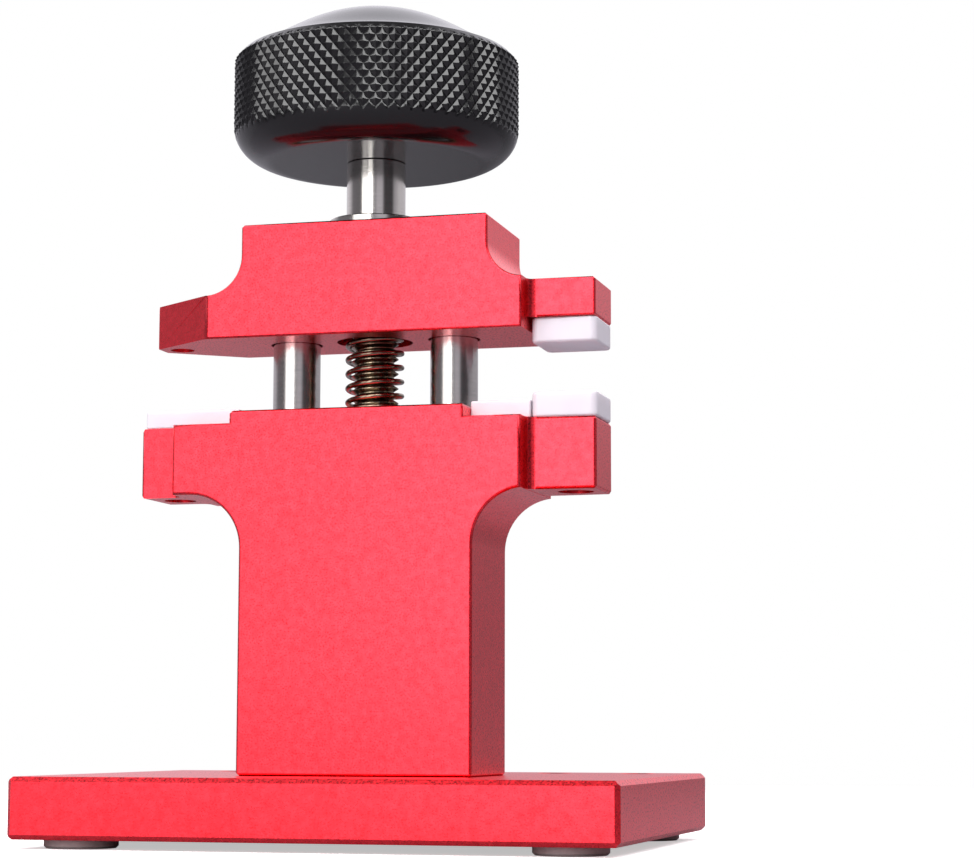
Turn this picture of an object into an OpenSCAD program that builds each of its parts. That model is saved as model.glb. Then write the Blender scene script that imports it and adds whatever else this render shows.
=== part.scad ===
// Screw press for watch cases and bracelets.
// A T-shaped column stands on a base plate. The jaw slides on two guide posts and is
// pushed down by a knob and screw, against a return spring. The left side of the jaw
// holds a punch, and the right side closes two nylon blocks.

/* [Base plate] */
// Width of the base plate
base_w = 100; // [90:1:120]
// Depth of the base plate
base_d = 74; // [70:1:90]
// Thickness of the base plate
base_t = 10; // [9:0.5:14]
// Chamfer on every edge of the base plate
base_chamfer = 0.8; // [0.4:0.1:1.5]
// Distance of the screw axis to the right of the plate's middle
axis_x = 2; // [0:0.5:4]
// Distance of the screw axis in front of the plate's middle
axis_forward = 8; // [6:0.5:10]
// Diameter of a rubber foot
foot_d = 12; // [8:0.5:14]
// Height of a rubber foot
foot_h = 1.5; // [1:0.1:3]
// Distance of a foot's middle from the plate's side edges
foot_inset_x = 9.4; // [8:0.1:14]
// Distance of a foot's middle from the plate's front and rear edges
foot_inset_y = 8.5; // [8:0.1:14]

/* [Column] */
// Width of the column and of its raised middle
column_w = 40; // [36:1:44]
// Depth of the column and its arms, front to back
column_d = 22; // [20:0.5:26]
// Height of the column from the plate to the underside of its arms
arm_under = 46.4; // [40:0.1:60]
// Thickness of the arms
arm_t = 11.8; // [10:0.1:14]
// Height of the raised middle above the pad seats
seat_step = 2.1; // [1.5:0.1:3]
// Reach of the left arm from the screw axis
arm_left = 32; // [31:0.5:34]
// Reach of the right arm from the screw axis
arm_right = 28; // [27:0.5:30]
// Radius of the round under each arm
arm_radius = 9; // [6:0.5:9]
// Left end of the raised middle, from the screw axis
step_left = 22; // [21:0.5:23]
// Right end of the raised middle, from the screw axis
step_right = 18.4; // [18:0.2:20]
// Reach of the narrow tongues from the screw axis
tongue_reach = 39.5; // [38:0.5:42]
// Depth of the narrow tongues, front to back
tongue_d = 12; // [11:0.5:14]
// Distance of the punch hole and of the block screw from the screw axis
station_x = 34.8; // [34:0.1:36]

/* [Jaw] */
// Gap between the column and the jaw at rest
jaw_gap = 12.2; // [12:0.1:15]
// Height of the jaw
jaw_h = 19.1; // [18:0.1:22]
// Left end of the jaw's full height, from the screw axis
jaw_top_left = 20.2; // [20:0.1:22]
// Right end of the jaw's full height, from the screw axis
jaw_top_right = 22.5; // [21:0.1:23]
// Height of the jaw's nose
nose_h = 7.4; // [7.2:0.1:9]
// Height of the jaw's right shoulder
shoulder_h = 8.5; // [8:0.1:10]
// Left end of the jaw's full depth, where the nose starts to narrow
nose_start = 26.2; // [26:0.1:28]
// Reach of the nose's tip from the screw axis
nose_reach = 38.7; // [38.5:0.1:41]
// Width of the nose's blunt tip
nose_tip_w = 3.4; // [3:0.2:5]
// Reach of the jaw's full depth to the right
jaw_right = 28.2; // [27:0.1:30]
// Depth of the jaw's right tongue, front to back
jaw_tongue_d = 12.6; // [12:0.1:14]
// Thickness of the jaw's right tongue
jaw_tongue_t = 6.4; // [6:0.1:7]
// Radius left by the cutter in the corners beside the tongues
corner_r = 1.5; // [1:0.5:3]
// Travel of the jaw below rest, where the nylon blocks almost meet
travel_down = 7.8; // [5:0.1:7.8]

/* [Guide posts and screw] */
// Diameter of a guide post
post_d = 8; // [6:1:8]
// Length of a guide post
post_l = 50; // [48:1:52]
// Distance between the guide posts
post_gap = 27.8; // [27:0.1:29]
// Depth of a guide post in the column
post_depth = 19.8; // [18:0.1:22]
// Outside diameter of a guide bush in the jaw
bush_d = 10; // [9.5:0.5:11]
// Height of the jaw's lip under a guide bush
bush_lip = 1.5; // [1:0.5:3]
// Nominal diameter of the screw
screw_d = 8; // [6:1:8]
// Length of the screw
screw_l = 86; // [84:1:88]
// Outside diameter of the threaded bush in the column
nut_d = 12; // [11:0.5:13]
// Length of the threaded bush in the column
nut_l = 15; // [12:1:18]
// Outside diameter of the return spring
spring_d = 10.2; // [10:0.1:10.8]
// Wire diameter of the return spring
spring_wire = 0.9; // [0.7:0.1:1]
// Diameter of the spring's pocket in the jaw
pocket_d = 12.8; // [12:0.1:14]
// Depth of the spring's pocket in the jaw
pocket_depth = 8; // [6:0.5:10]
// Diameter of the thrust washer
washer_d = 16; // [15:0.5:18]
// Thickness of the thrust washer
washer_t = 1.6; // [1:0.1:2]
// Diameter of the spacer sleeve
sleeve_d = 10; // [9.5:0.5:12]
// Length of the spacer sleeve
sleeve_l = 10; // [8:0.5:12]

/* [Knob] */
// Diameter of the knob over the knurl
knob_d = 48.6; // [40:0.1:50]
// Height of the knurled band
knurl_h = 12.4; // [10:0.1:16]
// Height of the rounding under the knurled band
knob_round_h = 6.1; // [4:0.1:8]
// Diameter of the knob's flat underside
knob_flat_d = 35.4; // [30:0.1:38]
// Height of the knob's domed top
dome_h = 8; // [5:0.1:10]

/* [Pads and blocks] */
// Thickness of the thin nylon pads on the column
pad_t = 3; // [2.5:0.1:4]
// Thickness of the nylon blocks on the right tongues
block_t = 4.2; // [3:0.1:4.3]
// Width of the nylon blocks
block_w = 11; // [10:0.1:12]
// Depth of the nylon blocks, front to back
block_d = 11.8; // [11:0.1:12]

/* [Punches] */
// Diameter of a punch's shank
shank_d = 4; // [3:0.5:4]
// Length of a punch's shank below its collar
shank_l = 6.7; // [5:0.1:7]
// Diameter of a punch's collar
collar_d = 6.8; // [6:0.1:8]
// Thickness of a punch's collar
collar_t = 1.2; // [1:0.1:2]
// Length of a punch's working end above its collar
stem_l = 9.3; // [8:0.1:12]
// Diameter of the finest working end
stem_d_min = 1.8; // [1:0.1:2]
// Step in diameter from one punch to the next
stem_d_step = 0.3; // [0.1:0.05:0.3]
// Distance between neighbouring sockets in the rear row
socket_pitch = 15; // [14:0.5:16]
// Distance of the rear row of sockets behind the screw axis
socket_row_y = 36; // [35:0.5:38]
// Distance between the rows of sockets behind the column
socket_row_step = 8; // [7:0.5:8.5]

/* [Hidden] */
$fn = 64;
PUNCHES = 8;

axis_y = -axis_forward;
joint_gap = 0.02;          // radial clearance of a fit that turns or slides
drill_over = 1;            // how far a cutter runs past a face
// heights above the surface the press stands on
base_z = foot_h;
column_z = base_z + base_t;
arm_z = column_z + arm_under;
seat_z = arm_z + arm_t;
column_top = seat_z + seat_step;
jaw_z = column_top + jaw_gap;
jaw_top = jaw_z + jaw_h;
washer_z = jaw_top;
sleeve_z = washer_z + washer_t;
knob_z = sleeve_z + sleeve_l;
knurl_z = knob_z + knob_round_h;
rim_z = knurl_z + knurl_h;
post_z = column_top - post_depth;
nut_z = column_top - nut_l;
pocket_z = jaw_z + pocket_depth;
screw_depth_in_knob = 12;
screw_z = knob_z + screw_depth_in_knob - screw_l;
screw_bore_z = screw_z - travel_down - 2;
block_overhang = 0.1;      // how far a block stands past the end of its tongue
block_drop = 2;            // how far the upper block hangs below the jaw
block_x = tongue_reach - block_w / 2 + block_overhang;
upper_block_z = jaw_z - block_drop;
jaw_tongue_z = upper_block_z + block_t;
// M3 screws: shank, head and counterbore sizes
m3_d = 3;
m3_head_d = 5.5;
m3_head_h = 3;
m3_bore_d = 6;
m3_flat_head_d = 6;
m3_key = 2.5;
m3_flat_key = 2;
m3_key_depth = 1.2;
m3_tap = 3;                // depth of a tapped hole in a nylon block
m3_bite = 2.8;             // length of screw inside it
m3_sink = 3;               // depth of the lower block screw's head inside the arm
pad_screw_left_x = -26.8;
pad_screw_right_x = 23.2;
pad_screw_l = 8;
pad_sink = 0.3;            // how far a pad screw's head lies below the pad's face
pad_gap = 0.1;             // how far a pad stays inside the edges beside it
pad_end_gap = 0.7;         // how far the left pad stays inside the tongue's end
// M6 screws that hold the column
m6_d = 6;
m6_clear_d = 6.6;
m6_head_d = 10;
m6_head_h = 6;
m6_bore_d = 11;
m6_bore_h = 6.5;
m6_grip = 18;
m6_key = 5;
m6_offset = 11;
pin_hole_d = 5.5;          // hole through the left tongue, for pins that are pushed out
pad_hole_d = 4;
socket_d = shank_d + 0.1;
socket_depth = 8;
socket_mouth_d = 6.2;
ring_wire = 0.5;
ring_grip = 0.02;          // how far a ring stands out of its groove
ring_groove_z = 3.9;       // height of the ring above the shank's end
knob_edge = 0.5;           // step at the top edge of the knurled band
post_edge = 0.6;           // chamfer at a post's ends
lip_gap = 0.8;             // how much wider than a post the jaw's bore is under a bush
left_shoulder_run = 0.6;   // how far the left shoulder's round runs past the nose's start
right_shoulder_run = 0.2;  // how far the right one runs past the jaw's end

// Punch sockets. The first eight hold the punches: the middle two of the rear row and the
// two rows of three in front of them. The outer four of the rear row are spare.
SOCKETS = concat(
    [for (i = [-0.5, 0.5]) [i * socket_pitch, socket_row_y]],
    [for (row = [1, 2], i = [-0.5, 0, 0.5]) [i * socket_pitch, socket_row_y - row * socket_row_step]],
    [for (i = [-2.5, -1.5, 1.5, 2.5]) [i * socket_pitch, socket_row_y]]
);

// Moves children from the screw axis to its place over the base plate
module on_axis(z = 0) { translate([axis_x, axis_y, z]) children(); }

// Box whose twelve edges are chamfered, centred in plan and standing on z = 0
module chamfered_box(w, d, h, c) {
    intersection() {
        linear_extrude(h) chamfered_rect(w, d, c);
        translate([0, d / 2, h / 2]) rotate([90, 0, 0]) linear_extrude(d) chamfered_rect(w, h, c);
        translate([-w / 2, 0, h / 2]) rotate([90, 0, 90]) linear_extrude(w) chamfered_rect(d, h, c);
    }
}

module chamfered_rect(w, h, c) {
    x = w / 2;
    y = h / 2;
    polygon([[-x + c, -y], [x - c, -y], [x, -y + c], [x, y - c],
             [x - c, y], [-x + c, y], [-x, y - c], [-x, -y + c]]);
}

// Turned shape from a list of [radius, height] points
module turned(points) { rotate_extrude() polygon(points); }

// Upright outline in X and Z given a thickness d, centred on the screw axis front to back
module slab(d) { translate([0, d / 2, 0]) rotate([90, 0, 0]) linear_extrude(d) children(); }

// Cap screw with its head's top at z = 0 and its shank downwards
module cap_screw(d, length, head_d, head_h, key) {
    difference() {
        turned([[0, 0], [head_d / 2 - 0.4, 0], [head_d / 2, -0.4], [head_d / 2, -head_h],
                [d / 2, -head_h], [d / 2, -head_h - length + 0.5], [d / 2 - 0.5, -head_h - length],
                [0, -head_h - length]]);
        translate([0, 0, -head_h / 2]) cylinder(d = key / cos(30), h = head_h, $fn = 6);
    }
}

// Countersunk screw with its head's top at z = 0 and its shank downwards
module flat_screw(d, length, head_d, key) {
    cone = (head_d - d) / 2;
    difference() {
        turned([[0, 0], [head_d / 2, 0], [d / 2, -cone], [d / 2, -length + 0.4],
                [d / 2 - 0.4, -length], [0, -length]]);
        translate([0, 0, -m3_key_depth]) cylinder(d = key / cos(30), h = 2, $fn = 6);
    }
}

// Round left by the cutter between a broad body's end face and a narrow tongue.
// x is the end face, side is 1 where the tongue runs to the right and -1 to the left.
module corner_rounds(x, side, half_d, z, h) {
    for (s = [-1, 1])
        translate([x, s * half_d, z])
            difference() {
                translate([side < 0 ? -corner_r : 0, s < 0 ? -corner_r : 0, 0])
                    cube([corner_r, corner_r, h]);
                translate([side * corner_r, s * corner_r, -drill_over])
                    cylinder(r = corner_r, h = h + 2 * drill_over);
            }
}

module base_plate() {
    color("crimson")
        difference() {
            translate([0, 0, base_z]) chamfered_box(base_w, base_d, base_t, base_chamfer);
            on_axis(base_z) {
                for (s = [-1, 1]) translate([s * m6_offset, 0, -drill_over]) {
                    cylinder(d = m6_clear_d, h = base_t + 2 * drill_over);
                    cylinder(d = m6_bore_d, h = m6_bore_h + drill_over);
                }
                for (p = SOCKETS) translate([p[0], p[1], base_t]) socket();
            }
        }
}

// Hole for a punch's shank, open at z = 0 and with a countersunk mouth
module socket() {
    mouth_h = (socket_mouth_d - socket_d) / 2;
    translate([0, 0, -socket_depth]) cylinder(d = socket_d, h = socket_depth + drill_over);
    translate([0, 0, -mouth_h])
        cylinder(d1 = socket_d, d2 = socket_mouth_d + 2 * drill_over, h = mouth_h + drill_over);
}

// Foot at one corner: sx is -1 on the left, sy is -1 at the front
module foot(sx, sy) {
    color("dimgray")
        translate([sx * (base_w / 2 - foot_inset_x), sy * (base_d / 2 - foot_inset_y), 0])
            turned([[0, 0], [foot_d / 2 - 0.4, 0], [foot_d / 2, 0.4], [foot_d / 2, foot_h], [0, foot_h]]);
}

// Front outline of the column: shank, rounds, arms and raised middle
module column_outline() {
    x = column_w / 2;
    difference() {
        union() {
            translate([-x, column_z]) square([column_w, column_top - column_z - seat_step]);
            translate([-step_left, seat_z - 1]) square([step_left + step_right, seat_step + 1]);
            translate([-arm_left, arm_z - arm_radius])
                square([arm_left + arm_right, arm_radius + arm_t]);
        }
        for (s = [-1, 1]) translate([s * (x + arm_radius), arm_z - arm_radius]) circle(r = arm_radius);
        translate([-arm_left - drill_over, arm_z - arm_radius - drill_over])
            square([arm_left - x - arm_radius + drill_over, arm_radius + drill_over]);
    }
}

module column() {
    color("crimson")
        on_axis()
            difference() {
                union() {
                    slab(column_d) column_outline();
                    translate([-tongue_reach, -tongue_d / 2, arm_z])
                        cube([2 * tongue_reach, tongue_d, arm_t]);
                    corner_rounds(-arm_left, -1, tongue_d / 2, arm_z, arm_t);
                    corner_rounds(arm_right, 1, tongue_d / 2, arm_z, arm_t);
                }
                // bores for the posts, the bush and the screw's lower end
                for (s = [-1, 1]) translate([s * post_gap / 2, 0, post_z])
                    cylinder(d = post_d, h = post_depth + drill_over);
                translate([0, 0, nut_z]) cylinder(d = nut_d, h = nut_l + drill_over);
                translate([0, 0, screw_bore_z])
                    cylinder(d = screw_d + 1, h = nut_z - screw_bore_z + drill_over);
                // tapped holes for the screws from below
                for (s = [-1, 1]) translate([s * m6_offset, 0, column_z - drill_over])
                    cylinder(d = m6_d, h = m6_grip + drill_over);
                // left tongue: hole for pins that are pushed out
                translate([-station_x, 0, arm_z - drill_over])
                    cylinder(d = pin_hole_d, h = arm_t + 2 * drill_over);
                // right tongue: counterbored hole for the block's screw
                translate([station_x, 0, arm_z - drill_over]) {
                    cylinder(d = m3_d, h = arm_t + 2 * drill_over);
                    cylinder(d = m3_bore_d, h = m3_head_h + m3_sink + drill_over);
                }
                // tapped holes for the pads' screws
                for (x = [pad_screw_left_x, pad_screw_right_x])
                    translate([x, 0, seat_z + pad_t - pad_screw_l - 1])
                        cylinder(d = m3_d, h = pad_screw_l - pad_t + 1 + drill_over);
            }
}

module column_screws() {
    color("gray")
        on_axis(base_z + m6_bore_h - m6_head_h)
            for (s = [-1, 1]) translate([s * m6_offset, 0, 0]) rotate([180, 0, 0])
                cap_screw(m6_d, m6_grip + base_t - m6_bore_h - 1, m6_head_d, m6_head_h, m6_key);
}

// Bush with the screw's thread drawn as a plain running bore
module threaded_bush() {
    color("darkgoldenrod")
        on_axis(nut_z)
            difference() {
                cylinder(d = nut_d, h = nut_l);
                translate([0, 0, -drill_over])
                    cylinder(r = screw_d / 2 + joint_gap, h = nut_l + 2 * drill_over);
            }
}

// Guide post: s is -1 on the left
module guide_post(s) {
    r = post_d / 2;
    color("silver")
        on_axis(post_z) translate([s * post_gap / 2, 0, 0])
            turned([[0, 0], [r - post_edge, 0], [r, post_edge], [r, post_l - post_edge],
                    [r - post_edge, post_l], [0, post_l]]);
}

// Flat pad from x0 to x1 with a countersunk hole for its screw
module thin_pad(x0, x1, screw_x) {
    difference() {
        translate([x0, pad_gap - tongue_d / 2, 0]) cube([x1 - x0, tongue_d - 2 * pad_gap, pad_t]);
        pad_screw_seat(screw_x);
    }
}

module left_pad() {
    color("white")
        on_axis(seat_z)
            difference() {
                thin_pad(pad_end_gap - tongue_reach, -step_left, pad_screw_left_x);
                translate([-station_x, 0, -drill_over])
                    cylinder(d = pad_hole_d, h = pad_t + 2 * drill_over);
            }
}

module right_pad() {
    color("white")
        on_axis(seat_z) thin_pad(step_right, block_x - block_w / 2 - pad_gap, pad_screw_right_x);
}

// Countersunk hole through a thin pad
module pad_screw_seat(x) {
    cone = (m3_flat_head_d - m3_d) / 2;
    translate([x, 0, -drill_over]) cylinder(d = m3_d, h = pad_t + 2 * drill_over);
    translate([x, 0, pad_t - pad_sink - cone]) cylinder(d1 = m3_d, d2 = m3_flat_head_d, h = cone);
    translate([x, 0, pad_t - pad_sink]) cylinder(d = m3_flat_head_d, h = pad_sink + drill_over);
}

module pad_screw(x) {
    color("gray")
        on_axis(seat_z + pad_t - pad_sink) translate([x, 0, 0])
            flat_screw(m3_d, pad_screw_l, m3_flat_head_d, m3_flat_key);
}

// Nylon block with rounded corners in plan, standing on z = 0. Its tapped hole starts at tap_z.
module nylon_block(tap_z) {
    r = 1.2;
    x = block_w / 2 - r;
    y = block_d / 2 - r;
    difference() {
        linear_extrude(block_t) union() {
            square([block_w, 2 * y], center = true);
            square([2 * x, block_d], center = true);
            for (sx = [-1, 1], sy = [-1, 1]) translate([sx * x, sy * y]) circle(r = r);
        }
        translate([station_x - block_x, 0, tap_z]) cylinder(d = m3_d, h = m3_tap + drill_over);
    }
}

module lower_block() {
    color("white") on_axis(seat_z) translate([block_x, 0, 0]) nylon_block(-drill_over);
}

module upper_block() {
    color("white") on_axis(upper_block_z) translate([block_x, 0, 0]) nylon_block(block_t - m3_tap);
}

module lower_block_screw() {
    color("gray")
        on_axis(arm_z + m3_sink) translate([station_x, 0, 0]) rotate([180, 0, 0])
            cap_screw(m3_d, arm_t - m3_sink - m3_head_h + m3_bite, m3_head_d, m3_head_h, m3_key);
}

module upper_block_screw() {
    color("gray")
        on_axis(jaw_tongue_z + jaw_tongue_t) translate([station_x, 0, 0])
            cap_screw(m3_d, jaw_tongue_t - m3_head_h + m3_bite, m3_head_d, m3_head_h, m3_key);
}

// Envelope of the return spring: a tube as wide and as long as its coils
module return_spring() {
    h = pocket_z - column_top;
    color("dimgray")
        on_axis(column_top)
            difference() {
                cylinder(d = spring_d, h = h);
                translate([0, 0, -drill_over])
                    cylinder(d = spring_d - 2 * spring_wire, h = h + 2 * drill_over);
            }
}

// Front outline of the jaw: raised middle, hollow shoulders, nose and right shoulder
module jaw_outline() {
    left_r = nose_start + left_shoulder_run - jaw_top_left;
    right_r = jaw_right + right_shoulder_run - jaw_top_right;
    difference() {
        translate([-nose_reach, jaw_z]) square([nose_reach + jaw_right, jaw_h]);
        translate([-jaw_top_left - left_r, jaw_z + nose_h + left_r]) circle(r = left_r);
        translate([-jaw_top_left - left_r, jaw_z + nose_h + left_r]) square([left_r, jaw_h]);
        translate([-nose_reach - drill_over, jaw_z + nose_h])
            square([nose_reach - jaw_top_left - left_r + drill_over, jaw_h]);
        translate([jaw_top_right + right_r, jaw_z + shoulder_h + right_r]) circle(r = right_r);
        translate([jaw_top_right, jaw_z + shoulder_h + right_r]) square([right_r + drill_over, jaw_h]);
    }
}

// Plan outline of the jaw: full depth, narrowing to the blunt nose on the left
module jaw_plan() {
    y = column_d / 2;
    t = nose_tip_w / 2;
    polygon([[-nose_reach, -t], [-nose_start, -y], [jaw_right, -y],
             [jaw_right, y], [-nose_start, y], [-nose_reach, t]]);
}

module jaw() {
    color("crimson")
        on_axis()
            difference() {
                union() {
                    intersection() {
                        slab(column_d) jaw_outline();
                        translate([0, 0, jaw_z]) linear_extrude(jaw_h) jaw_plan();
                    }
                    translate([jaw_right - 1, -jaw_tongue_d / 2, jaw_tongue_z])
                        cube([tongue_reach - jaw_right + 1, jaw_tongue_d, jaw_tongue_t]);
                    corner_rounds(jaw_right, 1, jaw_tongue_d / 2, jaw_tongue_z,
                                  jaw_z + shoulder_h - jaw_tongue_z);
                }
                // bores for the bushes, the spring and the screw
                for (s = [-1, 1]) translate([s * post_gap / 2, 0, jaw_z]) {
                    translate([0, 0, bush_lip]) cylinder(d = bush_d, h = jaw_h);
                    translate([0, 0, -drill_over]) cylinder(d = post_d + lip_gap, h = jaw_h);
                }
                translate([0, 0, jaw_z - drill_over]) cylinder(d = pocket_d, h = pocket_depth + drill_over);
                translate([0, 0, jaw_z]) cylinder(d = screw_d + 0.6, h = jaw_h + drill_over);
                // nose: bore that takes a punch's shank
                translate([-station_x, 0, jaw_z - drill_over])
                    cylinder(d = socket_d, h = nose_h + 2 * drill_over);
                // right tongue: counterbored hole for the block's screw
                translate([station_x, 0, jaw_tongue_z]) {
                    translate([0, 0, -drill_over]) cylinder(d = m3_d, h = jaw_tongue_t + 2 * drill_over);
                    translate([0, 0, jaw_tongue_t - m3_head_h])
                        cylinder(d = m3_bore_d, h = m3_head_h + drill_over);
                }
            }
}

// Guide bush: s is -1 on the left
module guide_bush(s) {
    color("peru")
        on_axis(jaw_z + bush_lip) translate([s * post_gap / 2, 0, 0])
            difference() {
                cylinder(d = bush_d, h = jaw_h - bush_lip);
                translate([0, 0, -drill_over])
                    cylinder(r = post_d / 2 + joint_gap, h = jaw_h + 2 * drill_over);
            }
}

module thrust_washer() {
    color("silver")
        on_axis(washer_z)
            difference() {
                cylinder(d = washer_d, h = washer_t);
                translate([0, 0, -drill_over]) cylinder(d = screw_d + 0.4, h = washer_t + 2 * drill_over);
            }
}

module spacer_sleeve() {
    color("silver")
        on_axis(sleeve_z)
            difference() {
                cylinder(d = sleeve_d, h = sleeve_l);
                translate([0, 0, -drill_over]) cylinder(d = screw_d, h = sleeve_l + 2 * drill_over);
            }
}

// Screw with its thread drawn as a plain rod of the thread's outside diameter
module lead_screw() {
    r = screw_d / 2;
    color("gray")
        on_axis(screw_z)
            turned([[0, 0], [r - 0.8, 0], [r, 0.8], [r, screw_l - 0.5], [r - 0.5, screw_l], [0, screw_l]]);
}

module knob() {
    r = knob_d / 2;
    flat_r = knob_flat_d / 2;
    rim_r = r - knob_edge;
    steps = 14;
    // quarter of an ellipse from the flat underside up to the knurled band
    rounding = [for (i = [0 : steps]) let (a = 90 * i / steps)
        [flat_r + (r - flat_r) * sin(a), knob_z + knob_round_h * (1 - cos(a))]];
    // dome that flows out flat at the rim and rounds over at the middle
    dome = [for (i = [0 : steps]) let (q = 1 - i / steps)
        [rim_r * q, rim_z + dome_h * pow(1 - pow(q, 2.4), 1.5)]];
    color("black")
        on_axis()
            difference() {
                turned(concat([[0, knob_z]], rounding, [[r, rim_z - knob_edge]], dome));
                translate([0, 0, knob_z - drill_over])
                    cylinder(d = screw_d, h = screw_depth_in_knob + drill_over);
            }
}

// Punch number i stands in its socket, shank down, with its collar on the plate
module punch(i) {
    shank = shank_d / 2;
    stem = (stem_d_min + stem_d_step * (i - 1)) / 2;
    groove = ring_wire / 2;
    color("darkslategray")
        on_axis(column_z) translate([SOCKETS[i - 1][0], SOCKETS[i - 1][1], 0])
            difference() {
                turned([[0, -shank_l], [shank - 0.4, -shank_l], [shank, -shank_l + 0.4], [shank, -0.4],
                        [shank - 0.3, -0.3], [shank - 0.3, 0], [collar_d / 2, 0], [collar_d / 2, collar_t],
                        [stem, collar_t], [stem, collar_t + stem_l - 0.2], [stem - 0.2, collar_t + stem_l],
                        [0, collar_t + stem_l]]);
                translate([0, 0, -shank_l + ring_groove_z - groove])
                    difference() {
                        cylinder(r = shank + 1, h = ring_wire);
                        translate([0, 0, -drill_over])
                            cylinder(r = shank - ring_wire + ring_grip, h = ring_wire + 2 * drill_over);
                    }
            }
}

// Spring ring in the groove of punch number i, which grips the socket
module punch_ring(i) {
    outer = shank_d / 2 + ring_grip;
    inner = outer - ring_wire;
    color("black")
        on_axis(column_z - shank_l + ring_groove_z - ring_wire / 2)
            translate([SOCKETS[i - 1][0], SOCKETS[i - 1][1], 0])
                difference() {
                    cylinder(r = outer, h = ring_wire);
                    translate([0, 0, -drill_over]) cylinder(r = inner, h = ring_wire + 2 * drill_over);
                }
}

base_plate();
foot(-1, -1);  // foot_front_left
foot(1, -1);  // foot_front_right
foot(-1, 1);  // foot_rear_left
foot(1, 1);  // foot_rear_right
column();
column_screws();
threaded_bush();
guide_post(-1);  // guide_post_left
guide_post(1);  // guide_post_right
left_pad();
pad_screw(pad_screw_left_x);  // left_pad_screw
right_pad();
pad_screw(pad_screw_right_x);  // right_pad_screw
lower_block();
lower_block_screw();
return_spring();
jaw();
guide_bush(-1);  // guide_bush_left
guide_bush(1);  // guide_bush_right
upper_block();
upper_block_screw();
thrust_washer();
spacer_sleeve();
lead_screw();
knob();
for (i = [1 : PUNCHES]) {
    punch(i);
    punch_ring(i);
}
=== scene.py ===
import math
import bmesh
import bpy
import numpy as np
from mathutils import Matrix, Vector


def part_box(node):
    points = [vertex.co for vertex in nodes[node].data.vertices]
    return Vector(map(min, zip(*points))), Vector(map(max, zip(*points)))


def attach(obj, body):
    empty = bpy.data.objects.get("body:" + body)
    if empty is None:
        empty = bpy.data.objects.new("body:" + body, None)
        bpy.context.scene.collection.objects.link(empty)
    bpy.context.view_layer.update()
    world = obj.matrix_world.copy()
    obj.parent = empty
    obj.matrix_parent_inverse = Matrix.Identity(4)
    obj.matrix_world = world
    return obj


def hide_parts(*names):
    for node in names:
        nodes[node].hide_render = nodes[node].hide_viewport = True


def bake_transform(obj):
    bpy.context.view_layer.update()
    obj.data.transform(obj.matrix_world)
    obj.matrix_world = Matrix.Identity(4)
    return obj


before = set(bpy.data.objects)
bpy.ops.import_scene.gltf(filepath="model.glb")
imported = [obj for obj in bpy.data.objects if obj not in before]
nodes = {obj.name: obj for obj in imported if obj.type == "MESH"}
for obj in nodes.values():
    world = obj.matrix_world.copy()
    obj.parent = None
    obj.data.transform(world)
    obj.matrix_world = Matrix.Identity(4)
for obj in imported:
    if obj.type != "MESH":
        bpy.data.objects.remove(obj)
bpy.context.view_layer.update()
mm = 0.001
seamWidth = 1e-7                            # points of one surface that are nearer than this are one point

screwLow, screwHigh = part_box("lead_screw")
axisX = (screwLow.x + screwHigh.x) / 2      # the screw's axis, which everything turned is built on
axisY = (screwLow.y + screwHigh.y) / 2
print("frame loaded, screw axis at", round(axisX, 4), round(axisY, 4))


def linearColour(hexColour):
    # each sRGB channel as a share of 255, with the sRGB curve undone
    parts = [int(hexColour[i:i + 2], 16) / 255 for i in (1, 3, 5)]
    return [c / 12.92 if c <= 0.04045 else ((c + 0.055) / 1.055) ** 2.4 for c in parts] + [1.0]


def addNode(tree, kind, settings=None, links=None):
    # settings holds node properties and socket values, links holds socket: (other node, its output)
    node = tree.nodes.new(kind)
    for key, value in (settings or {}).items():
        if isinstance(key, str) and hasattr(node, key):
            setattr(node, key, value)
        else:
            node.inputs[key].default_value = value
    for key, (source, output) in (links or {}).items():
        tree.links.new(source.outputs[output], node.inputs[key])
    return node


def startMaterial(name, settings):
    # a material with its Principled shader, whose constant sockets come from settings
    material = bpy.data.materials.new(name)
    material.use_nodes = True
    tree = material.node_tree
    tree.nodes.clear()
    shader = addNode(tree, "ShaderNodeBsdfPrincipled", settings)
    addNode(tree, "ShaderNodeOutputMaterial", links={"Surface": (shader, "BSDF")})
    return material, tree, shader


def fromTo(low, high):
    # settings for a Mix node that goes from one sRGB colour to another
    return {"data_type": "RGBA", 6: linearColour(low), 7: linearColour(high)}


def perMetre(size):
    # a texture's scale for a pattern of this size in millimetres
    return 1 / (size * mm)


def surfaceMesh(name, grid, smooth=None, lean=None):
    # grid is rows x columns x 3 points in metres; neighbours become faces, and doubles close seams and poles
    # smooth holds a flag for each row of faces, lean the diagonal (rows x columns) each face is cut along
    rows, columns = grid.shape[:2]
    index = np.arange(rows * columns).reshape(rows, columns)
    a, b, c, d = index[:-1, :-1], index[:-1, 1:], index[1:, 1:], index[1:, :-1]
    if lean is None:
        faces = np.stack([a, b, c, d], -1).reshape(-1, 4)
    else:
        first = np.where(lean[..., None], np.stack([a, b, c], -1), np.stack([a, b, d], -1))
        second = np.where(lean[..., None], np.stack([a, c, d], -1), np.stack([b, c, d], -1))
        faces = np.stack([first, second], 2).reshape(-1, 3)
    mesh = bpy.data.meshes.new(name)
    mesh.from_pydata(grid.reshape(-1, 3).tolist(), [], faces.tolist())
    flags = np.ones(len(faces), bool) if smooth is None else np.repeat(smooth, len(faces) // (rows - 1))
    mesh.polygons.foreach_set("use_smooth", flags)
    work = bmesh.new()
    work.from_mesh(mesh)
    bmesh.ops.remove_doubles(work, verts=work.verts, dist=seamWidth)
    bmesh.ops.recalc_face_normals(work, faces=work.faces)
    work.to_mesh(mesh)
    work.free()
    return mesh


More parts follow.
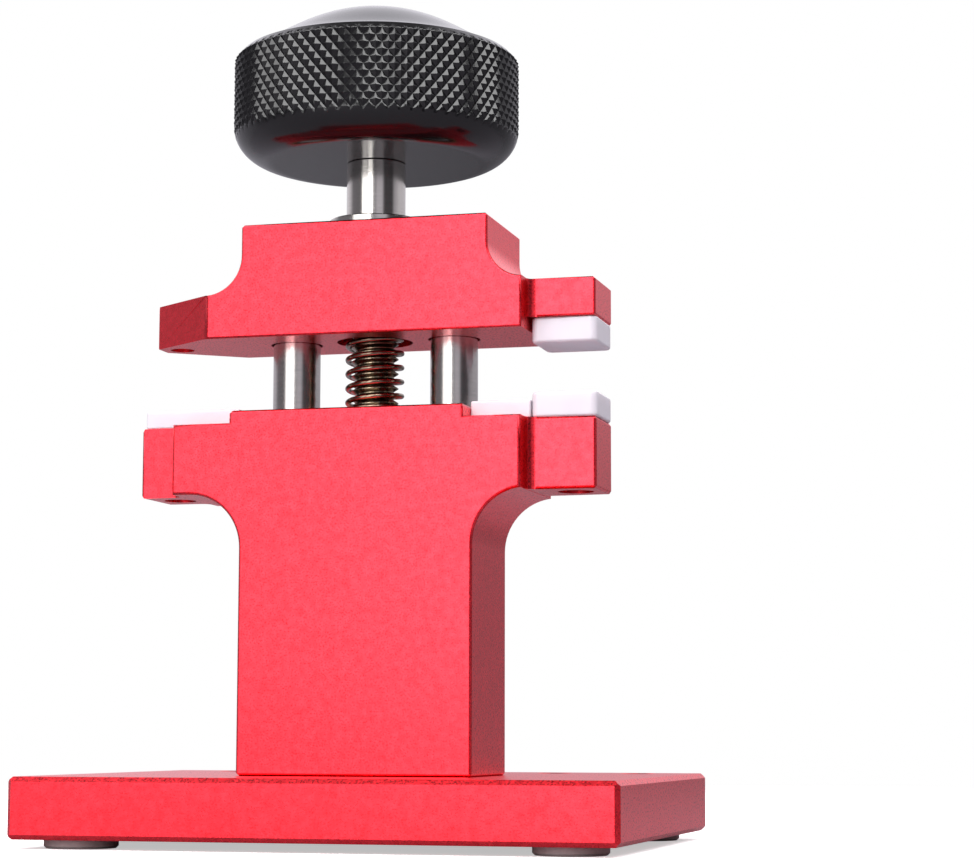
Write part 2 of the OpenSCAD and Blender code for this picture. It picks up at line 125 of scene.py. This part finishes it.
def place(name, mesh, body, material, stoodFor):
    # a piece made here, which moves with a body and stands for a node
    piece = bpy.data.objects.new(name, mesh)
    bpy.context.scene.collection.objects.link(piece)
    piece.data.materials.append(material)
    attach(piece, body)
    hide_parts(stoodFor)
    return piece


# An edge is sharp if it bends by more than sharpAngle. largeFace is the area from which a front or rear face
# has all its edges taken off. The roots are where the tongues leave the arms: edges within rootReach of them
# sideways, and within rootDepth of the screw's axis from front to rear, keep their corners.
edgeRules = {
    "mergeWithin": 1e-6, "flatAngle": math.radians(0.2), "sharpAngle": math.radians(32),
    "facesFront": 0.999, "largeFace": 25 * mm * mm,
    "rootX": 30 * mm, "rootReach": 4.8 * mm, "rootDepth": 10.5 * mm,
}


def takesBevel(edge, shortest):
    # edges below the shortest length are the facets of bores, unless they edge a large front or rear face
    middle = (edge.verts[0].co + edge.verts[1].co) / 2
    nearRoot = (abs(abs(middle.x) - edgeRules["rootX"]) < edgeRules["rootReach"]
                and abs(middle.y - axisY) < edgeRules["rootDepth"])
    if not edge.is_convex or (shortest and nearRoot):
        return False
    onLargeFace = any(abs(f.normal.y) > edgeRules["facesFront"] and f.calc_area() > edgeRules["largeFace"]
                      for f in edge.link_faces)
    return onLargeFace or edge.calc_length() > shortest * mm


def softEdgedCopy(nodeName, name, body, material, slotName, width, segments=3, shortest=0.0):
    # the node's solid, merged and with its flat faces made whole, with its corners taken off by a bevel
    # width and shortest are in millimetres
    work = bmesh.new()
    work.from_mesh(nodes[nodeName].data)
    bmesh.ops.remove_doubles(work, verts=work.verts, dist=edgeRules["mergeWithin"])
    bmesh.ops.dissolve_limit(work, angle_limit=edgeRules["flatAngle"], verts=work.verts, edges=work.edges,
                             use_dissolve_boundaries=False, delimit={"NORMAL"})
    points = [tuple(v.co) for v in work.verts]
    faces = [[v.index for v in f.verts] for f in work.faces]
    work.free()
    mesh = bpy.data.meshes.new(name)
    mesh.from_pydata(points, [], faces)
    mesh.polygons.foreach_set("use_smooth", np.ones(len(faces), bool))
    work = bmesh.new()
    work.from_mesh(mesh)
    weight = work.edges.layers.float.new("bevel_weight_edge")
    for edge in work.edges:
        sharp = edge.is_manifold and edge.calc_face_angle() > edgeRules["sharpAngle"]
        bevelled = sharp and takesBevel(edge, shortest)
        edge[weight] = 1.0 if bevelled else 0.0
        edge.smooth = bevelled or not sharp
    work.to_mesh(mesh)
    work.free()
    piece = place(name, mesh, body, material, nodeName)
    bevel = piece.modifiers.new("edge", "BEVEL")
    bevel.width = width * mm
    bevel.segments = segments
    bevel.limit_method = "WEIGHT"
    bevel.use_clamp_overlap = False
    bevel.harden_normals = True
    return piece


def finishNodes(material, *names):
    for nodeName in names:
        nodes[nodeName].data.materials.clear()
        nodes[nodeName].data.materials.append(material)


# In the dictionaries below, cloud, grain and rustSize are the sizes of patterns in millimetres.
redLook = {
    "deep": "#dd0c22", "bright": "#ff2a3a", "cloud": 1.25, "grain": 0.34,
    "smoothest": 0.24, "roughest": 0.38, "bump": 0.3, "bumpHeight": 0.02 * mm,
}


def makeRedAluminium():
    # aluminium, milled, bead blasted and anodised red: a satin metal under a clear hard layer
    # the blasted grain is drawn coarser than it is, or it wouldn't show
    look = redLook
    material, tree, shader = startMaterial("redAnodisedAluminium", {
        "Metallic": 1.0, "Coat Weight": 1.0, "Coat Roughness": 0.3, "Coat IOR": 1.35,
        "Specular Tint": (1.0, 0.4, 0.45, 1.0)})
    place3d = addNode(tree, "ShaderNodeTexCoord")
    cloud = addNode(tree, "ShaderNodeTexNoise", {"Scale": perMetre(look["cloud"]), "Detail": 3.0},
                    {"Vector": (place3d, "Object")})
    grain = addNode(tree, "ShaderNodeTexNoise", {"Scale": perMetre(look["grain"]), "Detail": 2.0},
                    {"Vector": (place3d, "Object")})
    both = addNode(tree, "ShaderNodeMath", {"operation": "ADD"}, {0: (cloud, "Fac"), 1: (grain, "Fac")})
    blotch = addNode(tree, "ShaderNodeMapRange", {"From Min": 0.7, "From Max": 1.3}, {"Value": (both, 0)})
    tint = addNode(tree, "ShaderNodeMix", fromTo(look["deep"], look["bright"]), {0: (blotch, 0)})
    tree.links.new(tint.outputs[2], shader.inputs["Base Color"])
    rough = addNode(tree, "ShaderNodeMapRange", {"From Min": 0.3, "From Max": 0.7,
                                                 "To Min": look["smoothest"], "To Max": look["roughest"]},
                    {"Value": (grain, "Fac")})
    tree.links.new(rough.outputs[0], shader.inputs["Roughness"])
    bump = addNode(tree, "ShaderNodeBump", {"Strength": look["bump"], "Distance": look["bumpHeight"]},
                   {"Height": (grain, "Fac")})
    tree.links.new(bump.outputs[0], shader.inputs["Normal"])
    tree.links.new(bump.outputs[0], shader.inputs["Coat Normal"])
    return material


blackLook = {"dark": "#0a0a0b", "light": "#121113", "grain": 0.385, "smoothest": 0.12, "roughest": 0.2}


def makeBlackAluminium():
    # aluminium, turned on a lathe and anodised black: dark, with a clear gloss that varies a little, and the
    # metal hidden under its dye
    look = blackLook
    material, tree, shader = startMaterial("blackAnodisedAluminium", {"IOR": 1.4})
    place3d = addNode(tree, "ShaderNodeTexCoord")
    grain = addNode(tree, "ShaderNodeTexNoise", {"Scale": perMetre(look["grain"]), "Detail": 3.0},
                    {"Vector": (place3d, "Object")})
    tint = addNode(tree, "ShaderNodeMix", fromTo(look["dark"], look["light"]), {0: (grain, "Fac")})
    tree.links.new(tint.outputs[2], shader.inputs["Base Color"])
    rough = addNode(tree, "ShaderNodeMapRange", {"To Min": look["smoothest"], "To Max": look["roughest"]},
                    {"Value": (grain, "Fac")})
    tree.links.new(rough.outputs[0], shader.inputs["Roughness"])
    return material


turnedMarks = (2.5, 2.5, 0.1111)     # rings left by a wheel or a cutting tool, drawn coarser than they are
evenMarks = (1.11, 1.11, 1.11)       # the patchy look of an oiled or plated surface
# each bare metal's darker and lighter colour, its lowest and highest roughness, and the size of its marks in
# millimetres along x, y and z
metalLooks = {
    "groundSteel": ("#aeaaa7", "#cfcbc7", 0.17, 0.27, turnedMarks),
    "turnedSteel": ("#bdb9b4", "#dcd8d2", 0.12, 0.22, turnedMarks),
    "springSteel": ("#54483e", "#877463", 0.14, 0.24, evenMarks),
    "rolledScrewSteel": ("#5f554b", "#95856f", 0.15, 0.26, evenMarks),
    "zincPlatedSteel": ("#a9abae", "#c9cbce", 0.25, 0.38, (1.43, 1.43, 1.43)),
    "blackOxideScrewSteel": ("#201f20", "#3a3838", 0.35, 0.5, evenMarks),
    "ringSteel": ("#2b2827", "#4c4743", 0.25, 0.4, evenMarks),
    "turnedBrass": ("#b08d4a", "#cfae68", 0.18, 0.3, turnedMarks),
    "bearingBronze": ("#8a5f3a", "#b07f51", 0.28, 0.42, turnedMarks),
}


def makeMetal(name, dark, light, smoothest, roughest, marksSize):
    # bare metal: a colour and a gloss that vary with the marks of its making
    material, tree, shader = startMaterial(name, {"Metallic": 1.0})
    place3d = addNode(tree, "ShaderNodeTexCoord")
    mapping = addNode(tree, "ShaderNodeMapping", {"Scale": [perMetre(size) for size in marksSize]},
                      {"Vector": (place3d, "Object")})
    marks = addNode(tree, "ShaderNodeTexNoise", {"Scale": 1.0, "Detail": 2.0}, {"Vector": (mapping, 0)})
    tint = addNode(tree, "ShaderNodeMix", fromTo(dark, light), {0: (marks, "Fac")})
    tree.links.new(tint.outputs[2], shader.inputs["Base Color"])
    rough = addNode(tree, "ShaderNodeMapRange", {"To Min": smoothest, "To Max": roughest},
                    {"Value": (marks, "Fac")})
    tree.links.new(rough.outputs[0], shader.inputs["Roughness"])
    return material


nylonLook = {
    "dark": "#c6c0c7", "light": "#d3cdd4", "cloud": 6.25, "grain": 0.333,
    "bump": 0.08, "bumpHeight": 0.02 * mm, "lightReach": 4 * mm,
}


def makeNylon():
    # white nylon, milled from bar: waxy, a little translucent, with a soft satin surface
    look = nylonLook
    material, tree, shader = startMaterial("whiteNylon", {
        "Roughness": 0.42, "IOR": 1.53, "Subsurface Weight": 0.35, "Subsurface Scale": look["lightReach"],
        "Subsurface Radius": (1.0, 0.9, 0.85)})
    place3d = addNode(tree, "ShaderNodeTexCoord")
    cloud = addNode(tree, "ShaderNodeTexNoise", {"Scale": perMetre(look["cloud"]), "Detail": 4.0},
                    {"Vector": (place3d, "Object")})
    tint = addNode(tree, "ShaderNodeMix", fromTo(look["dark"], look["light"]), {0: (cloud, "Fac")})
    tree.links.new(tint.outputs[2], shader.inputs["Base Color"])
    grain = addNode(tree, "ShaderNodeTexNoise", {"Scale": perMetre(look["grain"])},
                    {"Vector": (place3d, "Object")})
    bump = addNode(tree, "ShaderNodeBump", {"Strength": look["bump"], "Distance": look["bumpHeight"]},
                   {"Height": (grain, "Fac")})
    tree.links.new(bump.outputs[0], shader.inputs["Normal"])
    return material


punchLook = {
    "dark": "#35302e", "light": "#5a5350", "rust": "#6b3421", "cloud": 1.11, "rustSize": 3.85,
    "rustFrom": 0.6, "rustFull": 0.72, "smoothest": 0.34, "roughest": 0.6,
}


def makeBlackenedSteel():
    # tool steel, hardened and oil blackened, with specks of rust where the oil has dried
    look = punchLook
    material, tree, shader = startMaterial("oilBlackenedSteel", {"Metallic": 0.6})
    place3d = addNode(tree, "ShaderNodeTexCoord")
    cloud = addNode(tree, "ShaderNodeTexNoise", {"Scale": perMetre(look["cloud"]), "Detail": 5.0},
                    {"Vector": (place3d, "Object")})
    rust = addNode(tree, "ShaderNodeTexNoise", {"Scale": perMetre(look["rustSize"]), "Detail": 6.0,
                                                "Roughness": 0.65}, {"Vector": (place3d, "Object")})
    black = addNode(tree, "ShaderNodeMix", fromTo(look["dark"], look["light"]), {0: (cloud, "Fac")})
    spots = addNode(tree, "ShaderNodeMapRange", {"From Min": look["rustFrom"], "From Max": look["rustFull"]},
                    {"Value": (rust, "Fac")})
    tint = addNode(tree, "ShaderNodeMix", {"data_type": "RGBA", 7: linearColour(look["rust"])},
                   {0: (spots, 0), 6: (black, 2)})
    tree.links.new(tint.outputs[2], shader.inputs["Base Color"])
    rough = addNode(tree, "ShaderNodeMapRange", {"To Min": look["smoothest"], "To Max": look["roughest"]},
                    {"Value": (cloud, "Fac")})
    tree.links.new(rough.outputs[0], shader.inputs["Roughness"])
    return material


rubberLook = {"dark": "#988988", "light": "#b3a3a1", "grain": 0.667, "bump": 0.2, "bumpHeight": 0.03 * mm}


def makeRubber():
    # moulded rubber: dull, slightly dusty
    look = rubberLook
    material, tree, shader = startMaterial("greyRubber", {"Roughness": 0.8, "IOR": 1.5})
    place3d = addNode(tree, "ShaderNodeTexCoord")
    grain = addNode(tree, "ShaderNodeTexNoise", {"Scale": perMetre(look["grain"]), "Detail": 4.0},
                    {"Vector": (place3d, "Object")})
    tint = addNode(tree, "ShaderNodeMix", fromTo(look["dark"], look["light"]), {0: (grain, "Fac")})
    tree.links.new(tint.outputs[2], shader.inputs["Base Color"])
    bump = addNode(tree, "ShaderNodeBump", {"Strength": look["bump"], "Distance": look["bumpHeight"]},
                   {"Height": (grain, "Fac")})
    tree.links.new(bump.outputs[0], shader.inputs["Normal"])
    return material


redAluminium = makeRedAluminium()
blackAluminium = makeBlackAluminium()
metals = {name: makeMetal(name, *look) for name, look in metalLooks.items()}
whiteNylon = makeNylon()
blackenedSteel = makeBlackenedSteel()
greyRubber = makeRubber()
print("materials made")

# for each node: its new piece, body, material and slot, the width of its bevel, and for the milled aluminium
# also the number of segments and the shortest edge, with lengths in millimetres
milledPieces = {
    "column": ("column_body", "frame", redAluminium, "red_anodised_aluminium", 0.5, 1, 0.75),
    "jaw": ("jaw_body", "jaw_assembly", redAluminium, "red_anodised_aluminium", 0.4, 1, 0.75),
    "left_pad": ("left_pad_nylon", "frame", whiteNylon, "white_nylon", 0.3),
    "right_pad": ("right_pad_nylon", "frame", whiteNylon, "white_nylon", 0.3),
    "lower_block": ("lower_block_nylon", "frame", whiteNylon, "white_nylon", 0.45),
    "upper_block": ("upper_block_nylon", "jaw_assembly", whiteNylon, "white_nylon", 0.45),
}
for nodeName, settings in milledPieces.items():
    softEdgedCopy(nodeName, *settings)
finishNodes(redAluminium, "base_plate")
print("column, jaw, pads and blocks made")

knobLow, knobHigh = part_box("knob")
# flatShare is the share of a diamond's width that its flat tip takes, and runOut is how far the knurl reaches
# below the band; a larger domeFullness makes the dome blunter, and a larger domeFlow its flowing rim wider
knobForm = {
    "radius": (knobHigh.x - knobLow.x) / 2, "flatRadius": 17.7 * mm, "roundHeight": 6.1 * mm,
    "knurlHeight": 12.4 * mm, "rimInset": 1.3 * mm,
    "domeHeight": 8.0 * mm, "domeFullness": 2.4, "domeFlow": 1.5,
    "diamondsRound": 74, "diamondHeight": 2.39 * mm, "grooveDepth": 0.46 * mm, "flatShare": 0.1,
    "runOut": 2.4 * mm, "roundRows": 14,
}


def makeKnob():
    # A turned outline: flat underside, quarter ellipse, knurled band, and a dome that flows out at its rim.
    # Two families of V grooves cross on the band. The depth at a point is the larger of the two saw teeth of
    # (angle count + height count) and (angle count - height count), cut off near the tips, so that each
    # diamond has a small flat. The radius is the smaller of the grooved one and the outline's, so the grooves
    # run out where the outline curves in below the band and at the slanted edge above it.
    f = knobForm
    r, z0 = f["radius"], knobLow.z
    z1 = z0 + f["roundHeight"]
    z2 = z1 + f["knurlHeight"]
    share = f["flatShare"]
    cell = np.array([0.0, share, 0.5, 1 - share])
    around = np.append((np.arange(2 * f["diamondsRound"])[:, None] + cell).ravel(), 2 * f["diamondsRound"])
    halfRows = int((f["knurlHeight"] + f["runOut"]) / (f["diamondHeight"] / 2))
    up = np.append((np.arange(halfRows)[:, None] + cell).ravel(), halfRows)
    angle = around * math.pi / f["diamondsRound"]
    bandZ = z2 - (halfRows - up) * f["diamondHeight"] / 2
    u = (around[None, :] + up[:, None]) / 2
    v = (around[None, :] - up[:, None]) / 2
    saw = np.maximum(2 * np.abs(u - np.floor(u) - 0.5), 2 * np.abs(v - np.floor(v) - 0.5))
    grooved = r - np.clip((saw - share) / (1 - share), 0, 1) * f["grooveDepth"]
    fall = np.clip((z1 - bandZ) / f["roundHeight"], 0, 1)
    outline = f["flatRadius"] + (r - f["flatRadius"]) * np.sqrt(1 - fall ** 2)
    outline = np.minimum(outline, r - f["rimInset"] * np.clip(1 - (z2 - bandZ) / f["rimInset"], 0, 1))
    band = np.minimum(grooved, outline[:, None])
    a = np.linspace(0, math.acos((z1 - bandZ[0]) / f["roundHeight"]), f["roundRows"])[:-1]
    # rings of points on the flat underside: its middle, about half way out, and just inside its edge
    under = np.stack([np.array([0.0, 0.55, 0.97]) * f["flatRadius"], np.full(3, z0)], 1)
    rounding = np.stack([f["flatRadius"] + (r - f["flatRadius"]) * np.sin(a),
                         z0 + f["roundHeight"] * (1 - np.cos(a))], 1)
    # shares of the dome's radius, from its rim to its middle, closer together at the rim
    q = np.concatenate([np.linspace(1, 0.9, 7)[1:], np.linspace(0.88, 0.12, 16), [0.06, 0.0]])
    rise = (1 - q ** f["domeFullness"]) ** f["domeFlow"]
    dome = np.stack([(r - f["rimInset"]) * q, z2 + f["domeHeight"] * rise], 1)
    turned = np.concatenate([under, rounding], 0)
    radii = np.concatenate([np.repeat(turned[:, :1], len(angle), 1), band,
                            np.repeat(dome[:, :1], len(angle), 1)])
    heights = np.concatenate([turned[:, 1], bandZ, dome[:, 1]])
    grid = np.stack([axisX + radii * np.cos(angle), axisY + radii * np.sin(angle),
                     np.repeat(heights[:, None], len(angle), 1)], -1)
    smooth = np.ones(len(heights) - 1, bool)
    smooth[len(turned):len(turned) + len(up) - 1] = False
    # each face on the band is cut along the direction of the groove that runs nearest to it
    lean = np.ones((len(heights) - 1, len(angle) - 1), bool)
    middleUp = np.floor((up[:-1] + up[1:]) / 2)[:, None]
    middleAround = np.floor((around[:-1] + around[1:]) / 2)[None, :]
    lean[len(turned):len(turned) + len(up) - 1] = (middleUp + middleAround) % 2 == 0
    return surfaceMesh("knob_turned", grid, smooth, lean)


place("knob_turned", makeKnob(), "knob_assembly", blackAluminium, "knob")
print("knob made")

# flat is the width of the tooth's crest and of its root as a share of the pitch, and phase is the share of
# the pitch by which the whole thread is raised
threadForm = {
    "pitch": 1.25 * mm, "crest": (screwHigh.x - screwLow.x) / 2, "rootDepth": 0.767 * mm, "flat": 0.12,
    "chamfer": 0.9 * mm, "columns": 48, "phase": -0.19,
}


def makeThread():
    # A right-hand thread: the height is pitch x (turn + angle / full turn + place in the tooth), and the
    # radius follows the tooth from its root up one flank, over the crest and down the other. Both ends are
    # chamfered.
    f = threadForm
    z0, z1 = screwLow.z, screwHigh.z
    half = f["flat"] / 2
    toothAt = np.array([0.0, half, 0.5 - half, 0.5 + half, 1 - half])
    tooth = np.array([0.0, 0.0, 1.0, 1.0, 0.0])
    turns = int((z1 - z0) / f["pitch"]) + 4
    rowAt = (np.arange(turns)[:, None] - 1 + f["phase"] + toothAt[None, :]).ravel()
    rowTooth = np.tile(tooth, turns)
    angle = np.linspace(0, 2 * math.pi, f["columns"] + 1)
    z = z0 + f["pitch"] * (rowAt[:, None] + angle[None, :] / (2 * math.pi))
    radius = f["crest"] - f["rootDepth"] * (1 - np.repeat(rowTooth[:, None], len(angle), 1))
    taper = np.clip(np.minimum(z - z0, z1 - z) / f["chamfer"], 0, 1)
    radius = np.minimum(radius, f["crest"] - f["chamfer"] * (1 - taper))
    z = np.clip(z, z0, z1)
    ends = np.zeros((1, len(angle)))
    radius = np.concatenate([ends, radius, ends])
    z = np.concatenate([ends + z0, z, ends + z1])
    grid = np.stack([axisX + radius * np.cos(angle), axisY + radius * np.sin(angle), z], -1)
    return surfaceMesh("screw_thread", grid, np.zeros(grid.shape[0] - 1, bool))


place("screw_thread", makeThread(), "knob_assembly", metals["rolledScrewSteel"], "lead_screw")

springLow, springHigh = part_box("return_spring")
springForm = {
    "wire": 0.9 * mm, "outer": (springHigh.x - springLow.x) / 2, "clearance": 0.1 * mm, "pitch": 2.42 * mm,
    "closedTurns": 0.75, "closedPitch": 1.0 * mm, "startAngle": math.radians(185),
    "stepsRound": 48, "sides": 14,
}


def makeSpring():
    # A round wire carried along a helix. Its rise is slow in the closed end turns and even between them.
    f = springForm
    wire = f["wire"] / 2
    ring = f["outer"] - f["clearance"] - wire
    low, high = springLow.z + wire, springHigh.z - wire
    closed, slow = f["closedTurns"], f["closedPitch"]
    active = (high - low - 2 * closed * slow) / f["pitch"]
    turns = active + 2 * closed
    turn = np.linspace(0, turns, int(turns * f["stepsRound"]) + 1)
    z = (low + slow * (np.clip(turn, 0, closed) + np.clip(turn - closed - active, 0, closed))
         + f["pitch"] * np.clip(turn - closed, 0, active))
    angle = 2 * math.pi * turn + f["startAngle"]
    radial = np.stack([np.cos(angle), np.sin(angle), np.zeros_like(angle)], 1)
    centre = np.stack([axisX + ring * np.cos(angle), axisY + ring * np.sin(angle), z], 1)
    tangent = np.gradient(centre, axis=0)
    tangent /= np.linalg.norm(tangent, axis=1, keepdims=True)
    side = np.cross(tangent, radial)
    side /= np.linalg.norm(side, axis=1, keepdims=True)
    b = np.linspace(0, 2 * math.pi, f["sides"] + 1)[None, :, None]
    grid = centre[:, None] + wire * (np.cos(b) * radial[:, None] + np.sin(b) * side[:, None])
    first = np.repeat(centre[:1, None], f["sides"] + 1, 1)
    last = np.repeat(centre[-1:, None], f["sides"] + 1, 1)
    return surfaceMesh("spring_wire", np.concatenate([first, grid, last]))


spring = bpy.data.objects.new("spring_wire", makeSpring())
bpy.context.scene.collection.objects.link(spring)
spring.data.materials.append(metals["springSteel"])
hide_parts("return_spring")
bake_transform(spring)
print("screw and spring made")

turnedPieces = {
    "thrust_washer": ("washer_turned", "jaw_assembly", metals["turnedSteel"], "turned_steel", 0.2, 1),
    "spacer_sleeve": ("sleeve_turned", "knob_assembly", metals["turnedSteel"], "turned_steel", 0.16, 1),
}
for nodeName, settings in turnedPieces.items():
    softEdgedCopy(nodeName, *settings)

punches = range(1, 9)
finishNodes(metals["groundSteel"], "guide_post_left", "guide_post_right")
finishNodes(metals["turnedBrass"], "threaded_bush")
finishNodes(metals["bearingBronze"], "guide_bush_left", "guide_bush_right")
finishNodes(metals["zincPlatedSteel"], "left_pad_screw", "right_pad_screw")
finishNodes(metals["blackOxideScrewSteel"], "column_screws", "lower_block_screw", "upper_block_screw")
finishNodes(greyRubber, "foot_front_left", "foot_front_right", "foot_rear_left", "foot_rear_right")
finishNodes(blackenedSteel, *[f"punch_{number}" for number in punches])
finishNodes(metals["ringSteel"], *[f"punch_ring_{number}" for number in punches])
print("washer and sleeve made, small pieces finished")

floorLook = {
    "radius": 0.6, "corners": 64, "fade": (0.26, 0.5), "glow": 0.5, "cloud": 83.3,
    "dark": "#f3f2f2", "light": "#f9f9f9", "reflected": "#8f8b93",
}


def makeFloor():
    # a round sheet of pale paper that fades out towards its edge
    look = floorLook
    angle = np.arange(look["corners"]) * 2 * math.pi / look["corners"]
    ring = look["radius"] * np.stack([np.cos(angle), np.sin(angle), np.zeros_like(angle)], 1)
    mesh = bpy.data.meshes.new("floor")
    mesh.from_pydata(ring.tolist(), [], [list(range(look["corners"]))])
    floor = bpy.data.objects.new("floor", mesh)
    bpy.context.scene.collection.objects.link(floor)
    material, tree, shader = startMaterial("palePaper", {"Roughness": 0.8, "Emission Color": (1, 1, 1, 1)})
    place3d = addNode(tree, "ShaderNodeTexCoord")
    cloud = addNode(tree, "ShaderNodeTexNoise", {"Scale": perMetre(look["cloud"])},
                    {"Vector": (place3d, "Object")})
    tint = addNode(tree, "ShaderNodeMix", fromTo(look["dark"], look["light"]), {0: (cloud, "Fac")})
    # the paper looks pale to the camera and dimmer in reflections, as it would with the lamps further off
    path = addNode(tree, "ShaderNodeLightPath")
    seen = addNode(tree, "ShaderNodeMix", {"data_type": "RGBA", 6: linearColour(look["reflected"])},
                   {0: (path, "Is Camera Ray"), 7: (tint, 2)})
    tree.links.new(seen.outputs[2], shader.inputs["Base Color"])
    reach = addNode(tree, "ShaderNodeVectorMath", {"operation": "LENGTH"}, {0: (place3d, "Object")})
    near, far = look["fade"]
    fade = addNode(tree, "ShaderNodeMapRange", {"interpolation_type": "SMOOTHSTEP", "From Min": near,
                                                "From Max": far, "To Min": 1.0, "To Max": 0.0},
                   {"Value": (reach, "Value")})
    tree.links.new(fade.outputs[0], shader.inputs["Alpha"])
    glow = addNode(tree, "ShaderNodeMath", {"operation": "MULTIPLY", 1: look["glow"]},
                   {0: (path, "Is Camera Ray")})
    tree.links.new(glow.outputs[0], shader.inputs["Emission Strength"])
    floor.data.materials.append(material)


# each lamp's width and height, its watts, its place, and the height above the floor that it is aimed at
softboxes = {
    "frontLeft": ((0.28, 0.8), 1.6, (-0.36, -0.68, 0.2), 0.07),
    "frontMiddle": ((0.24, 0.8), 2.8, (-0.08, -0.76, 0.2), 0.07),
    "topLeft": ((0.36, 0.4), 2.8, (-0.4, -0.42, 0.76), 0.12),
    "topMiddle": ((0.62, 0.4), 7.5, (0.1, -0.5, 0.8), 0.12),
    "topRight": ((0.3, 0.36), 3.0, (0.56, -0.1, 0.74), 0.12),
}


def addSoftbox(name, size, watts, position, aimHeight):
    light = bpy.data.lights.new(name, "AREA")
    light.shape = "RECTANGLE"
    light.size, light.size_y = size
    light.energy = watts
    lamp = bpy.data.objects.new(name, light)
    bpy.context.scene.collection.objects.link(lamp)
    lamp.location = position
    lamp.rotation_euler = (Vector((0, 0, aimHeight)) - Vector(position)).to_track_quat("-Z", "Y").to_euler()


# bands are places round the room, from the front (0) to the left, back, right and front again (1), with the
# brightness there; heights and the rear's reach are parts of the direction looked in, from -1 to 1
roomLook = {
    "bands": [(0.0, 0.35), (0.06, 0.4), (0.1, 0.3), (0.115, 0.16), (0.24, 0.22), (0.29, 0.5), (0.43, 0.5),
              (0.46, 0.16), (0.5, 0.28), (0.745, 0.3), (0.765, 0.07), (0.865, 0.07), (0.885, 0.6),
              (0.94, 0.6), (0.955, 0.35)],
    "bandTint": (1.0, 0.97, 1.08),
    "rearWall": (1.35, 1.32, 1.42, 1), "wallHeights": (0.06, 0.45), "rearReach": (-0.1, 0.5),
    "ceiling": (0.15, 0.15, 0.15, 1), "ceilingHeights": (0.75, 0.92),
}


def makeWorld():
    # a grey room that only reflections see; the camera sees white
    look = roomLook
    world = bpy.data.worlds.new("studio")
    bpy.context.scene.world = world
    world.use_nodes = True
    tree = world.node_tree
    tree.nodes.clear()
    place3d = addNode(tree, "ShaderNodeTexCoord")
    split = addNode(tree, "ShaderNodeSeparateXYZ", links={0: (place3d, "Generated")})
    # the angle round the room: its arc tangent is taken from the front, which is -Y, towards the left, -X
    flipX = addNode(tree, "ShaderNodeMath", {"operation": "MULTIPLY", 1: -1.0}, {0: (split, "X")})
    flipY = addNode(tree, "ShaderNodeMath", {"operation": "MULTIPLY", 1: -1.0}, {0: (split, "Y")})
    turn = addNode(tree, "ShaderNodeMath", {"operation": "ARCTAN2"}, {0: (flipX, 0), 1: (flipY, 0)})
    share = addNode(tree, "ShaderNodeMath", {"operation": "DIVIDE", 1: 2 * math.pi}, {0: (turn, 0)})
    wrap = addNode(tree, "ShaderNodeMath", {"operation": "FRACT"}, {0: (share, 0)})
    ramp = addNode(tree, "ShaderNodeValToRGB", links={"Fac": (wrap, 0)})
    elements = ramp.color_ramp.elements
    while len(elements) < len(look["bands"]):
        elements.new(0.5)
    for element, (position, level) in zip(elements, look["bands"]):
        element.position = position
        element.color = [level * channel for channel in look["bandTint"]] + [1]
    # at the back the bands fade into a bright wall above, and everything fades into a dim ceiling
    fades = []
    for axis, reach in (("Z", "wallHeights"), ("Y", "rearReach"), ("Z", "ceilingHeights")):
        start, full = look[reach]
        fades.append(addNode(tree, "ShaderNodeMapRange", {"From Min": start, "From Max": full},
                             {"Value": (split, axis)}))
    wall, rear, ceiling = fades
    both = addNode(tree, "ShaderNodeMath", {"operation": "MULTIPLY"}, {0: (wall, 0), 1: (rear, 0)})
    behind = addNode(tree, "ShaderNodeMix", {"data_type": "RGBA", 7: look["rearWall"]},
                     {0: (both, 0), 6: (ramp, "Color")})
    upper = addNode(tree, "ShaderNodeMix", {"data_type": "RGBA", 7: look["ceiling"]},
                    {0: (ceiling, 0), 6: (behind, 2)})
    path = addNode(tree, "ShaderNodeLightPath")
    seen = addNode(tree, "ShaderNodeMix", {"data_type": "RGBA", 7: (1, 1, 1, 1)},
                   {0: (path, "Is Camera Ray"), 6: (upper, 2)})
    back = addNode(tree, "ShaderNodeBackground", {"Strength": 1.0}, {"Color": (seen, 2)})
    addNode(tree, "ShaderNodeOutputWorld", links={"Surface": (back, 0)})


# angles in radians: yaw turns the camera to its left, pitch tips it up, and roll turns it about its own line
cameraSetup = {
    "place": (128.0 * mm, -404.7 * mm, 18.63 * mm), "yaw": 0.262, "pitch": 0.121, "roll": 0.002,
    "lens": 91.94, "sensor": 36, "clip": (0.02, 20),
}


def makeCamera():
    yaw, pitch, roll = cameraSetup["yaw"], cameraSetup["pitch"], cameraSetup["roll"]
    forward = Vector((-math.sin(yaw) * math.cos(pitch), math.cos(yaw) * math.cos(pitch), math.sin(pitch)))
    right = Vector((math.cos(yaw), math.sin(yaw), 0))
    up = right.cross(forward)
    right, up = (math.cos(roll) * right + math.sin(roll) * up,
                 math.cos(roll) * up - math.sin(roll) * right)
    data = bpy.data.cameras.new("camera")
    data.lens = cameraSetup["lens"]
    data.sensor_width = cameraSetup["sensor"]
    data.clip_start, data.clip_end = cameraSetup["clip"]
    camera = bpy.data.objects.new("camera", data)
    bpy.context.scene.collection.objects.link(camera)
    x, y, z = cameraSetup["place"]
    camera.matrix_world = Matrix(((right.x, up.x, -forward.x, x), (right.y, up.y, -forward.y, y),
                                  (right.z, up.z, -forward.z, z), (0, 0, 0, 1)))
    bpy.context.scene.camera = camera


makeFloor()
makeWorld()
makeCamera()
for name, settings in softboxes.items():
    addSoftbox(name, *settings)
bpy.context.scene.view_settings.view_transform = "Standard"
print("studio made")
